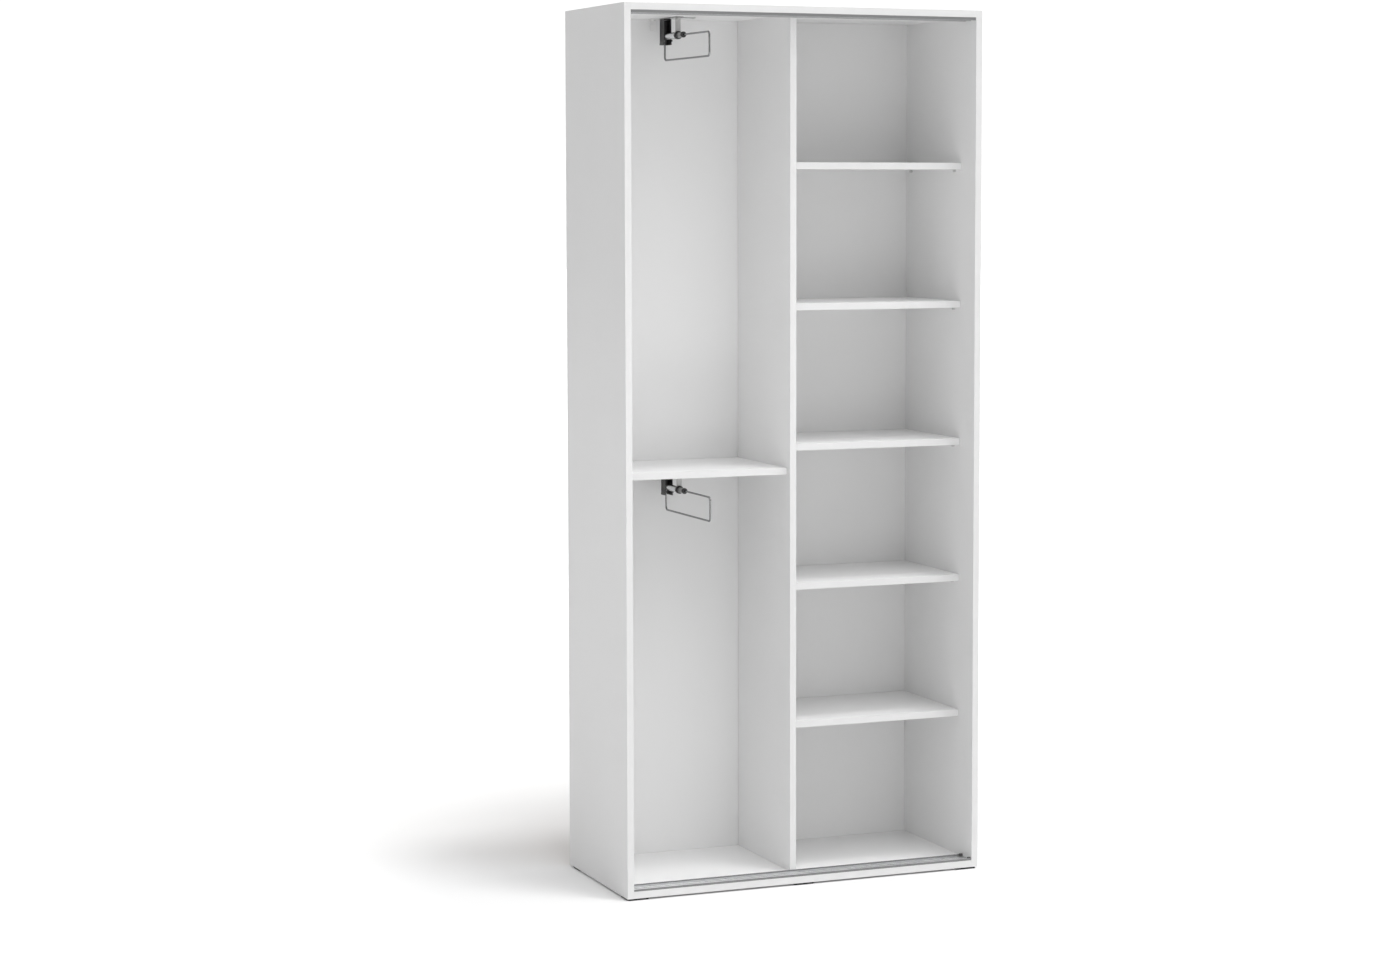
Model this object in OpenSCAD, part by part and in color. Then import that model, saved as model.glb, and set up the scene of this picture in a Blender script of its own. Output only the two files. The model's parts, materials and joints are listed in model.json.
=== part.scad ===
// Open sliding-door wardrobe: a tall white melamine carcass on low feet, divided into a
// hanging side with two pull-out rails and a side with five loose shelves.
// The two sliding doors are not part of it. Their aluminium tracks are.
//
// Frame: X to the right, Y from the front to the back, Z up. The origin is on the floor,
// under the middle of the carcass. Sizes are in millimetres.

/* [Carcass] */
// Overall width, across both side panels
cabinet_w = 1000; // [800:10:1300]
// Overall depth of the side panels
cabinet_d = 450; // [370:5:650]
// Overall height, feet included
cabinet_h = 2284; // [1880:1:2760]
// Thickness of every melamine board
board_t = 18; // [15:0.1:22]
// Divider's centre from the middle of the carcass
divider_offset = -12; // [-60:1:60]
// Thickness of the plastic edging on the front edges
edge_t = 1; // [0.8:0.1:2]
// Radius on the edging's two corners
edge_r = 0.7; // [0.3:0.1:0.8]

/* [Back] */
// Thickness of the hardboard back
back_t = 3; // [2.5:0.1:4]
// Recess from the carcass's rear edges to the back
back_inset = 23; // [15:1:40]
// Depth of the groove that holds the back
groove_depth = 8; // [5:0.5:9]
// Clearance of the back in its groove, on each side
groove_gap = 0.2; // [0.1:0.1:0.4]
// Width of the joint strip between the two halves of the back
strip_w = 14; // [10:1:16]
// Thickness of the joint strip's flanges and web
strip_t = 0.8; // [0.6:0.1:1.2]

/* [Shelves] */
// Distance from one loose shelf to the next
shelf_pitch = 367; // [280:1:450]
// Recess of every shelf behind the divider's front edge
shelf_recess = 20; // [5:1:40]
// Gap at each end of a shelf, and behind it
shelf_gap = 0.5; // [0.3:0.1:2]
// Height of the fixed shelf's underside above the floor panel
left_shelf_h = 1051; // [800:1:1280]

/* [Door tracks] */
// Width of both tracks, front to back
track_w = 60; // [48:1:72]
// Distance from the carcass's front to a track
track_front = 2; // [1:0.5:4]
// Gap between the tracks and the divider behind them
track_gap = 2; // [0.5:0.5:20]
// Thickness of a track's base
track_base = 1.2; // [1:0.1:2]
// Thickness of a track's lips
lip_t = 1.6; // [1.2:0.1:2.5]
// Height of the bottom track
bottom_track_h = 6; // [5:0.5:10]
// Height of the top track
top_track_h = 8; // [6:0.5:14]
// Height of the low middle rib on the bottom track's base
rib_h = 1.5; // [1:0.1:3]
// Length and width of a door stop
stop_size = 8; // [6:1:16]

/* [Feet] */
// Length and width of a foot
foot_size = 58; // [40:1:70]
// Height of a foot
foot_h = 5; // [4:0.5:12]
// Corner radius of a foot
foot_r = 7; // [3:0.5:15]
// Inset of the feet from the side panels' outer faces
foot_side_inset = 3; // [0:0.5:10]
// Inset of the front feet from the carcass's front
foot_front_inset = 3; // [1:0.5:10]
// Inset of the rear feet from the carcass's rear
foot_rear_inset = 15; // [1:0.5:30]
// Centre of the middle feet from the middle of the carcass
middle_foot_offset = -4; // [-60:1:60]

/* [Pull-out rails] */
// Wire diameter of the loop
wire_d = 5; // [4:0.5:7]
// Bend radius of the wire, to its centre line
bend_r = 9; // [6:0.5:14]
// Drop from the mounting face to the loop's top wire
wire_drop = 48; // [42:1:60]
// Height of the loop between wire centres
loop_h = 62; // [45:1:80]
// Distance from the carcass's front to the loop's front wire
loop_front_gap = 48; // [30:1:60]
// Gap between the back and the rear housing
housing_gap = 46; // [38:1:60]
// Depth of the rear housing
housing_d = 33; // [26:1:45]
// Height of the rear housing, mounting plate included
housing_h = 70; // [62:1:85]
// Outer diameter of the guide tube
tube_d = 17.6; // [15:0.1:19]
// Wall of the guide tube
tube_wall = 1.3; // [1:0.1:2]
// Distance that the loop pulls out
travel = 88; // [60:1:110]
// Thickness of the rail's sheet-metal plates
plate_t = 2; // [1.5:0.1:3]
// Length of the mounting plate's wing, from the loop's plane
wing_len = 59; // [40:1:80]
// Width of the mounting plate's wing
wing_w = 14; // [11:1:20]

/* [Fasteners] */
// Distance from a board's end to a cam's centre
cam_reach = 34; // [24:1:40]
// Diameter of a cam housing
cam_d = 15; // [12:0.5:18]
// Distance from the carcass's front and rear to the nearest cam
cam_inset = 100; // [60:1:120]
// Diameter of the dowels
dowel_d = 8; // [6:1:10]
// Diameter of a shelf pin's stem
pin_d = 5; // [3:0.5:6]

/* [Hidden] */

// Smoothness of true cylinders, and of small flat outlines
ROUND = 48;
// Overshoot of a cut past the face that it opens
CUT = 1;
// Radial clearance of a fastener in its hole
FIT = 0.1;
// Radial clearance of a shaft that slides in its bush
RUN = 0.1;

melamine = "#f2f2f0";
edging = "#f7f7f5";
hardboard = "#e4e4e2";
anodised = "#a9abad";
steel = "#b9bbbd";
chrome = "#d5d7d9";
black_plastic = "#202122";
beech = "#d8bb8c";

// Planes of the carcass
half_w = cabinet_w / 2;
front_y = -cabinet_d / 2;
rear_y = cabinet_d / 2;
inner_x = half_w - board_t;
floor_z = foot_h + board_t;
ceiling_z = cabinet_h - board_t;
board_front_y = front_y + edge_t;

// Back, and the pieces that end against it
back_rear_y = rear_y - back_inset;
back_front_y = back_rear_y - back_t;
divider_front_y = front_y + track_front + track_w + track_gap;
divider_rear_y = back_front_y - strip_t;
divider_left_x = divider_offset - board_t / 2;
divider_right_x = divider_offset + board_t / 2;

// Shelves
RIGHT_SHELVES = 5;
shelf_front_y = divider_front_y + shelf_recess;
shelf_rear_y = back_front_y - shelf_gap;
shelf_stack_h = (RIGHT_SHELVES - 1) * shelf_pitch + board_t;
first_shelf_z = floor_z + (ceiling_z - floor_z - shelf_stack_h) / 2;
left_shelf_z = floor_z + left_shelf_h;
function right_shelf_z(index) = first_shelf_z + (index - 1) * shelf_pitch;

// Cam fittings: an end of a board is [x, direction into the board, z of its middle, cam face]
bolt_len_in_side = 11;
cam_below_bolt = 3.5;
cam_depth = board_t / 2 + cam_below_bolt;
cam_pocket_depth = cam_depth + 0.5;
bolt_r = 3;
cam_bolt_reach = cam_reach + 2;
carcass_ends = [
    [-inner_x, 1, ceiling_z + board_t / 2, 1],
    [inner_x, -1, ceiling_z + board_t / 2, 1],
    [-inner_x, 1, foot_h + board_t / 2, -1],
    [inner_x, -1, foot_h + board_t / 2, -1]
];
shelf_ends = [
    [-inner_x, 1, left_shelf_z + board_t / 2, -1],
    [divider_left_x, -1, left_shelf_z + board_t / 2, -1]
];
carcass_cam_ys = [front_y + cam_inset, rear_y - cam_inset];
shelf_cam_inset = 60;
shelf_cam_ys = [shelf_front_y + shelf_cam_inset, shelf_rear_y - shelf_cam_inset];
dowel_step = 32;
dowel_ys = [for (y = carcass_cam_ys) y - sign(y) * dowel_step];
dowel_in_side = 12;
dowel_in_panel = 20;

// Confirmat screws that hold the divider, through the top and the bottom
confirmat_head_r = 4.8;
confirmat_head_h = 2.5;
confirmat_shank_r = 3.4;
confirmat_thread_r = 2.5;
confirmat_len = 50;
confirmat_inset = 70;
confirmat_ys = [divider_front_y + confirmat_inset, divider_rear_y - confirmat_inset];

// Shelf pins
pin_in_board = 8;
pin_out = 7;
pin_head_r = pin_d / 2 + 1;
pin_inset = 35;
pin_ys = [shelf_front_y + pin_inset, shelf_rear_y - pin_inset];

// Door tracks
track_len = 2 * inner_x - 2 * shelf_gap;
track_y = front_y + track_front;
lip_ys = [0, (track_w - lip_t) / 2, track_w - lip_t];
channel_w = (track_w - 3 * lip_t) / 2;
track_screw_inset = 60;
track_screw_count = 5;
track_screw_step = (track_len - 2 * track_screw_inset) / (track_screw_count - 1);
stop_gap = 0.2;
csk_r = 3;
csk_h = 1.8;
thin_screw_r = 1.6;
track_screw_len = 14;

// Feet
outer_foot_x = half_w - foot_side_inset - foot_size / 2;
foot_xs = [-outer_foot_x, middle_foot_offset, outer_foot_x];
foot_ys = [front_y + foot_front_inset + foot_size / 2, rear_y - foot_rear_inset - foot_size / 2];
foot_screw_len = 15;
foot_screw_recess = 1.5;

// Pull-out rails, in their own frame: the loop's plane is x = 0, the back's inner face is
// y = 0 and the mounting face is z = 0, with the rail below it and in front of the back
rail_x = (-inner_x + divider_left_x) / 2;
wire_r = wire_d / 2;
housing_wall = 1.5;
tube_fit = 0.2;
housing_w = tube_d + 2 * (tube_fit + housing_wall);
housing_rear = -housing_gap;
housing_front = housing_rear - housing_d;
tube_r = tube_d / 2;
tube_bore_r = tube_r - tube_wall;
tube_rear = housing_rear - housing_wall;
stop_boss_t = 1.5;
slider_gap = 0.5;
slider_r = tube_bore_r - 0.3;
slider_len = 16;
slider_rear = tube_rear - stop_boss_t - slider_gap;
slider_front = slider_rear - slider_len;
loop_rear = slider_rear - slider_len / 2;
loop_front = -(back_front_y - front_y - loop_front_gap);
wire_seat = 5;
slot_w = wire_d + 2;
bush_rear = slider_front - travel - slider_gap;
spigot_len = 4;
tube_front = bush_rear - spigot_len;
bush_r = tube_bore_r - 0.7;
bush_front = tube_front - 32;
cap_r = bush_r + 1;
cap_len = 6;
collar_r = tube_r + 1.6;
collar_len = 10;
collar_front = tube_front - 1;
collar_rear = collar_front + collar_len;
strap_w = 14;
strap_rear = collar_front + (collar_len + plate_t) / 2;
strap_front = strap_rear - plate_t;
strap_foot = 14;
plate_front = strap_front - strap_foot;
plate_rear = housing_rear + 1;
wing_y = collar_rear + 20;
bracket_left = -26;
bracket_right = 2;
bracket_leg_w = 14;
bracket_drop = 30;
bracket_rear = -2;
bracket_front = bracket_rear - 26;

// Screws of one rail: [x, y, depth of the metal under the head]
rail_screw_len = 16;
rail_screw_r = 1.75;
rail_head_r = 3.5;
rail_head_h = 2.2;
rail_screws_at = [
    [wing_len - wing_w / 2, wing_y, plate_t],
    [0, (housing_front + wing_y) / 2, plate_t],
    [0, (housing_rear + housing_front) / 2, 2 * plate_t],
    [0, strap_front - strap_foot / 2, 2 * plate_t],
    [(bracket_left + bracket_right) / 2, (bracket_rear + bracket_front) / 2, plate_t]
];

// ---- Shapes that repeat ----

// A box between two corners
module block(low, high) {
    translate(low)
        cube(high - low);
}

// A cylinder along X, from x0 to x1
module rod_x(x0, x1, y, z, r) {
    translate([min(x0, x1), y, z])
        rotate([0, 90, 0])
            cylinder(r = r, h = abs(x1 - x0), $fn = ROUND);
}

// A cylinder along Y, from y0 to y1
module rod_y(y0, y1, x, z, r) {
    translate([x, max(y0, y1), z])
        rotate([90, 0, 0])
            cylinder(r = r, h = abs(y1 - y0), $fn = ROUND);
}

// A cylinder along Z, from z0 to z1
module rod_z(z0, z1, x, y, r) {
    translate([x, y, min(z0, z1)])
        cylinder(r = r, h = abs(z1 - z0), $fn = ROUND);
}

// Rounded rectangle around the origin
module rounded_outline(w, d, r) {
    square([w - 2 * r, d], center = true);
    square([w, d - 2 * r], center = true);
    for (x = [-1, 1])
        for (y = [-1, 1])
            translate([x * (w / 2 - r), y * (d / 2 - r)])
                circle(r = r, $fn = ROUND);
}

// Puts its children at the end of a board, with +X into the board and +Z to the cam's face
module at_end(end, y) {
    translate([end[0], y, end[2]])
        rotate([0, 0, end[1] > 0 ? 0 : 180])
            mirror([0, 0, end[3] > 0 ? 0 : 1])
                children();
}

// ---- Fastener holes ----

// Pocket and end bore of a cam fitting, in a board
module cam_cut() {
    rod_z(board_t / 2 - cam_pocket_depth, board_t / 2 + CUT, cam_reach, 0, cam_d / 2 + FIT);
    rod_x(-CUT, cam_reach, 0, 0, bolt_r + 1);
}

// Bore of a cam bolt, in the board that it is screwed into
module bolt_cut() {
    rod_x(-bolt_len_in_side, CUT, 0, 0, bolt_r + FIT);
}

// Dowel hole through the joint between two boards
module dowel_cut() {
    rod_x(-dowel_in_side - CUT, dowel_in_panel + CUT, 0, 0, dowel_d / 2 + FIT);
}

// All fitting holes of a list of board ends
module carcass_cuts() {
    for (end = carcass_ends) {
        for (y = carcass_cam_ys) {
            at_end(end, y) {
                cam_cut();
                bolt_cut();
            }
        }
        for (y = dowel_ys)
            at_end(end, y) dowel_cut();
    }
}

module left_shelf_cuts() {
    for (end = shelf_ends)
        for (y = shelf_cam_ys)
            at_end(end, y) {
                cam_cut();
                bolt_cut();
            }
}

// Confirmat holes at one end of the divider; up is 1 at the top and -1 at the bottom
module confirmat_cuts(up) {
    outer_z = up > 0 ? cabinet_h : foot_h;
    head_z = outer_z - up * (confirmat_head_h + FIT);
    x = divider_offset;
    for (y = confirmat_ys) {
        rod_z(outer_z - up * confirmat_len, outer_z - up, x, y, confirmat_thread_r + FIT);
        rod_z(outer_z - up * board_t, outer_z - up, x, y, confirmat_shank_r + FIT);
        rod_z(head_z, outer_z + up * CUT, x, y, confirmat_head_r + FIT);
    }
}

// Shelf pin holes, in the side panel and in the divider
module pin_cuts() {
    for (i = [1 : RIGHT_SHELVES])
        for (y = pin_ys) {
            z = right_shelf_z(i) - pin_head_r;
            rod_x(divider_right_x - pin_in_board - FIT, divider_right_x + CUT, y, z, pin_d / 2 + FIT);
            rod_x(inner_x - CUT, inner_x + pin_in_board + FIT, y, z, pin_d / 2 + FIT);
        }
}

// Groove for the back, around the inside of the carcass
module back_groove() {
    difference() {
        block([-inner_x - groove_depth, back_front_y - groove_gap, floor_z - groove_depth],
              [inner_x + groove_depth, back_rear_y + groove_gap, ceiling_z + groove_depth]);
        block([-inner_x, back_front_y - CUT, floor_z],
              [inner_x, back_rear_y + CUT, ceiling_z]);
    }
}

// Pilot holes of the countersunk track screws
module track_screw_cuts() {
    for (x = track_screw_xs())
        for (i = [0, 1]) {
            y = track_screw_y(i);
            rod_z(floor_z - track_screw_len, floor_z + CUT, x, y, thin_screw_r + FIT);
            rod_z(floor_z - csk_h, floor_z + CUT, x, y, csk_r + FIT);
            rod_z(ceiling_z - CUT, ceiling_z + track_screw_len, x, y, thin_screw_r + FIT);
            rod_z(ceiling_z - CUT, ceiling_z + csk_h, x, y, csk_r + FIT);
        }
}

// Pilot holes of one rail's screws, upwards from the mounting face
module rail_screw_cuts() {
    for (s = rail_screws_at)
        rod_z(-CUT, rail_screw_len - s[2] + FIT, s[0], s[1], rail_screw_r + FIT);
}

// ---- Carcass ----

module side_board(left) {
    x0 = left ? -half_w : inner_x;
    difference() {
        block([x0, board_front_y, foot_h], [x0 + board_t, rear_y, cabinet_h]);
        back_groove();
        carcass_cuts();
        left_shelf_cuts();
        pin_cuts();
    }
}

module left_side() {
    color(melamine) side_board(true);
}

module right_side() {
    color(melamine) side_board(false);
}

module top_panel() {
    color(melamine)
        difference() {
            block([-inner_x, board_front_y, ceiling_z], [inner_x, rear_y, cabinet_h]);
            back_groove();
            carcass_cuts();
            confirmat_cuts(1);
            track_screw_cuts();
            upper_rail() rail_screw_cuts();
        }
}

module bottom_panel() {
    color(melamine)
        difference() {
            block([-inner_x, board_front_y, foot_h], [inner_x, rear_y, floor_z]);
            back_groove();
            carcass_cuts();
            confirmat_cuts(-1);
            track_screw_cuts();
            foot_screw_cuts();
        }
}

module divider() {
    color(melamine)
        difference() {
            block([divider_left_x, divider_front_y + edge_t, floor_z],
                  [divider_right_x, divider_rear_y, ceiling_z]);
            left_shelf_cuts();
            confirmat_cuts(1);
            confirmat_cuts(-1);
            pin_cuts();
        }
}

// Half of the back, from the groove in a side to the joint strip's web
module back_half(left) {
    outer = inner_x + groove_depth - groove_gap;
    web = strip_t / 2 + groove_gap;
    low_x = left ? -outer : divider_offset + web;
    high_x = left ? divider_offset - web : outer;
    block([low_x, back_front_y, floor_z - groove_depth + groove_gap],
          [high_x, back_rear_y, ceiling_z + groove_depth - groove_gap]);
}

module back_left() {
    color(hardboard) back_half(true);
}

module back_right() {
    color(hardboard) back_half(false);
}

// H-section strip that joins the two halves behind the divider
module back_joint_strip() {
    color(edging) {
        for (y = [back_front_y - strip_t, back_rear_y])
            block([divider_offset - strip_w / 2, y, floor_z],
                  [divider_offset + strip_w / 2, y + strip_t, ceiling_z]);
        block([divider_offset - strip_t / 2, back_front_y, floor_z],
              [divider_offset + strip_t / 2, back_rear_y, ceiling_z]);
    }
}

// ---- Shelves ----

module left_shelf() {
    color(melamine)
        difference() {
            block([-inner_x + shelf_gap, shelf_front_y + edge_t, left_shelf_z],
                  [divider_left_x - shelf_gap, shelf_rear_y, left_shelf_z + board_t]);
            left_shelf_cuts();
            lower_rail() rail_screw_cuts();
        }
}

module right_shelf(index) {
    color(melamine)
        block([divider_right_x + shelf_gap, shelf_front_y + edge_t, right_shelf_z(index)],
              [inner_x - shelf_gap, shelf_rear_y, right_shelf_z(index) + board_t]);
}

// ---- Edging ----

// Cross-section of the edging: the board's thickness along X, the glued face at y = edge_t
module edge_outline() {
    intersection() {
        translate([-board_t / 2, 0])
            square([board_t, edge_t]);
        union() {
            translate([-board_t / 2, edge_r])
                square([board_t, edge_t]);
            translate([-board_t / 2 + edge_r, 0])
                square([board_t - 2 * edge_r, edge_t]);
            for (x = [-1, 1])
                translate([x * (board_t / 2 - edge_r), edge_r])
                    circle(r = edge_r, $fn = ROUND);
        }
    }
}

// Upright strip of edging, centred on x, from z0 to z1
module upright_edge(x, y, z0, z1) {
    translate([x, y, z0])
        linear_extrude(z1 - z0)
            edge_outline();
}

// Level strip of edging on the board with its underside at z, from x0 to x1
module level_edge(x0, x1, y, z) {
    translate([x0, y, z + board_t / 2])
        rotate([0, 90, 0])
            linear_extrude(x1 - x0)
                edge_outline();
}

module side_edging() {
    color(edging)
        for (x = [-1, 1])
            upright_edge(x * (half_w - board_t / 2), front_y, foot_h, cabinet_h);
}

module top_edging() {
    color(edging) level_edge(-inner_x, inner_x, front_y, ceiling_z);
}

module bottom_edging() {
    color(edging) level_edge(-inner_x, inner_x, front_y, foot_h);
}

module divider_edging() {
    color(edging) upright_edge(divider_offset, divider_front_y, floor_z, ceiling_z);
}

module shelf_edging() {
    color(edging) {
        level_edge(-inner_x + shelf_gap, divider_left_x - shelf_gap, shelf_front_y, left_shelf_z);
        for (i = [1 : RIGHT_SHELVES])
            level_edge(divider_right_x + shelf_gap, inner_x - shelf_gap, shelf_front_y, right_shelf_z(i));
    }
}

// ---- Door tracks ----

function track_screw_xs() =
    [for (i = [0 : track_screw_count - 1]) -track_len / 2 + track_screw_inset + i * track_screw_step];
function track_screw_y(channel) = track_y + lip_ys[channel] + lip_t + channel_w / 2;

// Base of a track, lying on z = 0
module track_base_plate() {
    difference() {
        block([-track_len / 2, 0, 0], [track_len / 2, track_w, track_base]);
        for (x = track_screw_xs())
            for (i = [0, 1])
                rod_z(-CUT, track_base + CUT, x, track_screw_y(i) - track_y, csk_r + FIT);
    }
}

// Lips that stand on a track's base; middle_h is the height of the middle lip or rib
module track_lips(h, middle_h) {
    heights = [h, middle_h, h];
    for (i = [0 : 2])
        block([-track_len / 2, lip_ys[i], track_base], [track_len / 2, lip_ys[i] + lip_t, heights[i]]);
}

// Puts a track on the floor panel
module on_floor() {
    translate([0, track_y, floor_z])
        children();
}

// Hangs a track under the ceiling
module under_ceiling() {
    translate([0, track_y, ceiling_z])
        mirror([0, 0, 1])
            children();
}

module bottom_track_base() {
    color(anodised) on_floor() track_base_plate();
}

module bottom_track_lips() {
    color(anodised) on_floor() track_lips(bottom_track_h, track_base + rib_h);
}

module top_track_base() {
    color(anodised) under_ceiling() track_base_plate();
}

module top_track_lips() {
    color(anodised) under_ceiling() track_lips(top_track_h, top_track_h);
}

// Buffers that stop the doors, beside the outer lips at the right end of the bottom track
module door_stops() {
    color(black_plastic)
        for (y = [lip_t + stop_gap, track_w - lip_t - stop_gap - stop_size])
            translate([track_len / 2 - stop_size / 2, track_y + y + stop_size / 2, floor_z + track_base])
                linear_extrude(bottom_track_h + 2 - track_base)
                    rounded_outline(stop_size, stop_size, 2);
}

// ---- Feet ----

module foot(column, row) {
    x = foot_xs[column];
    y = foot_ys[row];
    color(black_plastic)
        difference() {
            translate([x, y, 0])
                linear_extrude(foot_h)
                    rounded_outline(foot_size, foot_size, foot_r);
            rod_z(-CUT, foot_h + CUT, x, y, thin_screw_r + FIT);
            rod_z(-CUT, foot_screw_recess + csk_h, x, y, csk_r + FIT);
        }
}

module foot_screw_cuts() {
    for (x = foot_xs)
        for (y = foot_ys)
            rod_z(foot_h - CUT, foot_screw_recess + foot_screw_len + FIT, x, y, thin_screw_r + FIT);
}

// ---- Loose fasteners ----

// Cam housing in the frame of a board's end, with a drive slot and a hole for the bolt's head
module cam_housing() {
    difference() {
        rod_z(board_t / 2 - cam_depth, board_t / 2, cam_reach, 0, cam_d / 2);
        rod_x(0, cam_reach + 3, 0, 0, bolt_r + FIT);
        translate([cam_reach, 0, board_t / 2]) {
            cube([7, 1.6, 3], center = true);
            cube([1.6, 7, 3], center = true);
        }
    }
}

module cam_housings() {
    color(steel) {
        for (end = carcass_ends)
            for (y = carcass_cam_ys)
                at_end(end, y) cam_housing();
        for (end = shelf_ends)
            for (y = shelf_cam_ys)
                at_end(end, y) cam_housing();
    }
}

// Bolt with a neck behind its head
module cam_bolt() {
    rod_x(-bolt_len_in_side, cam_reach - 6, 0, 0, bolt_r);
    rod_x(cam_reach - 6, cam_reach - 2, 0, 0, bolt_r - 1);
    rod_x(cam_reach - 2, cam_bolt_reach, 0, 0, bolt_r);
}

module cam_bolts() {
    color(steel) {
        for (end = carcass_ends)
            for (y = carcass_cam_ys)
                at_end(end, y) cam_bolt();
        for (end = shelf_ends)
            for (y = shelf_cam_ys)
                at_end(end, y) cam_bolt();
    }
}

module dowels() {
    color(beech)
        for (end = carcass_ends)
            for (y = dowel_ys)
                at_end(end, y) rod_x(-dowel_in_side, dowel_in_panel, 0, 0, dowel_d / 2);
}

// Confirmat screw with its head's face at z = 0 and its thread down
module confirmat_screw() {
    difference() {
        union() {
            rod_z(-confirmat_head_h, 0, 0, 0, confirmat_head_r);
            rod_z(-board_t + 1, -confirmat_head_h, 0, 0, confirmat_shank_r);
            rod_z(-confirmat_len + 1, -board_t + 1, 0, 0, confirmat_thread_r);
        }
        translate([0, 0, CUT])
            mirror([0, 0, 1])
                cylinder(d = 4.6, h = 3, $fn = 6);
    }
}

module confirmat_screws() {
    color(steel)
        for (y = confirmat_ys) {
            translate([divider_offset, y, cabinet_h])
                confirmat_screw();
            translate([divider_offset, y, foot_h])
                mirror([0, 0, 1])
                    confirmat_screw();
        }
}

// Pins under the loose shelves: a stem in the board and a thicker head under the shelf
module shelf_pins() {
    color(steel)
        for (i = [1 : RIGHT_SHELVES])
            for (y = pin_ys) {
                z = right_shelf_z(i) - pin_head_r;
                rod_x(divider_right_x - pin_in_board, divider_right_x, y, z, pin_d / 2);
                rod_x(divider_right_x, divider_right_x + pin_out, y, z, pin_head_r);
                rod_x(inner_x, inner_x + pin_in_board, y, z, pin_d / 2);
                rod_x(inner_x - pin_out, inner_x, y, z, pin_head_r);
            }
}

// Countersunk screw with its head's face at z = 0 and its point down
module thin_screw(len) {
    difference() {
        union() {
            translate([0, 0, -csk_h])
                cylinder(r1 = thin_screw_r, r2 = csk_r, h = csk_h, $fn = ROUND);
            rod_z(-len, -csk_h, 0, 0, thin_screw_r);
        }
        cube([3.2, 0.7, 2], center = true);
        cube([0.7, 3.2, 2], center = true);
    }
}

module track_screws() {
    color(steel)
        for (x = track_screw_xs())
            for (i = [0, 1]) {
                translate([x, track_screw_y(i), floor_z + track_base])
                    thin_screw(track_screw_len);
                translate([x, track_screw_y(i), ceiling_z - track_base])
                    mirror([0, 0, 1])
                        thin_screw(track_screw_len);
            }
}

module foot_screws() {
    color(steel)
        for (x = foot_xs)
            for (y = foot_ys)
                translate([x, y, foot_screw_recess])
                    mirror([0, 0, 1])
                        thin_screw(foot_screw_len);
}

// ---- Pull-out rails ----

// Puts a rail under the ceiling of the left compartment
module upper_rail() {
    translate([rail_x, back_front_y, ceiling_z])
        children();
}

// Puts a rail under the fixed shelf
module lower_rail() {
    translate([rail_x, back_front_y, left_shelf_z])
        children();
}

// Flat plate on the mounting face, with a wing to the right
module rail_plate() {
    color(steel)
        difference() {
            union() {
                block([-housing_w / 2, plate_front, -plate_t], [housing_w / 2, plate_rear, 0]);
                block([0, wing_y - wing_w / 2, -plate_t], [wing_len - wing_w / 2, wing_y + wing_w / 2, 0]);
                rod_z(-plate_t, 0, wing_len - wing_w / 2, wing_y, wing_w / 2);
            }
            for (s = rail_screws_at)
                rod_z(-plate_t - CUT, CUT, s[0], s[1], rail_screw_r + FIT);
        }
}

// Rear housing: a channel that is open at the front and the bottom, with a rim around its
// foot, two tongues under the guide tube and a boss that stops the slider
module rail_housing() {
    half = housing_w / 2;
    inner = half - housing_wall;
    rim_h = 5;
    rim = 0.6;
    tongue_z = -wire_drop - tube_r - 1;
    color(black_plastic)
        difference() {
            union() {
                difference() {
                    union() {
                        block([-half, housing_front, -housing_h], [half, housing_rear, -plate_t]);
                        block([-half - rim, housing_front, -housing_h],
                              [half + rim, housing_rear + rim, -housing_h + rim_h]);
                    }
                    block([-inner, housing_front - CUT, -housing_h - CUT],
                          [inner, housing_rear - housing_wall, -2 * plate_t]);
                }
                for (x = [-half, inner])
                    block([x, housing_front - 8, tongue_z - 5], [x + housing_wall, housing_front, tongue_z]);
                rod_y(tube_rear - stop_boss_t, housing_rear, 0, -wire_drop, tube_bore_r - 1.5);
            }
            rod_z(-3 * plate_t, CUT, 0, (housing_rear + housing_front) / 2, rail_screw_r + FIT);
        }
}

// Angle bracket behind the housing: a tab on the mounting face and a leg down the back
module rail_bracket() {
    tab_x = (bracket_left + bracket_right) / 2;
    color(steel)
        difference() {
            union() {
                block([bracket_left, bracket_front, -plate_t], [bracket_right, bracket_rear, 0]);
                block([tab_x - bracket_leg_w / 2, bracket_rear - plate_t, -bracket_drop],
                      [tab_x + bracket_leg_w / 2, bracket_rear, -plate_t]);
            }
            rod_z(-plate_t - CUT, CUT, tab_x, (bracket_rear + bracket_front) / 2, rail_screw_r + FIT);
        }
}

// Guide tube with a slot along its underside for the loop's rear wire
module rail_tube() {
    color(chrome)
        difference() {
            rod_y(tube_rear, tube_front, 0, -wire_drop, tube_r);
            rod_y(tube_rear + CUT, tube_front - CUT, 0, -wire_drop, tube_bore_r);
            block([-slot_w / 2, tube_front - CUT, -wire_drop - tube_d],
                  [slot_w / 2, tube_rear + CUT, -wire_drop]);
        }
}

// Ring clamped on the tube's front end
module rail_collar() {
    color(black_plastic)
        difference() {
            rod_y(collar_rear, collar_front, 0, -wire_drop, collar_r);
            rod_y(collar_rear + CUT, tube_front, 0, -wire_drop, tube_r + FIT);
            rod_y(tube_front + CUT, collar_front - CUT, 0, -wire_drop, bush_r + FIT);
        }
}

// Strap from the mounting plate down to the collar, with a foot at its top
module rail_strap() {
    color(steel)
        difference() {
            union() {
                block([-strap_w / 2, strap_front, -wire_drop], [strap_w / 2, strap_rear, -plate_t]);
                block([-strap_w / 2, strap_front - strap_foot, -2 * plate_t],
                      [strap_w / 2, strap_front, -plate_t]);
            }
            rod_y(collar_rear + CUT, collar_front - CUT, 0, -wire_drop, collar_r);
            rod_z(-3 * plate_t, CUT, 0, strap_front - strap_foot / 2, rail_screw_r + FIT);
        }
}

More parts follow.
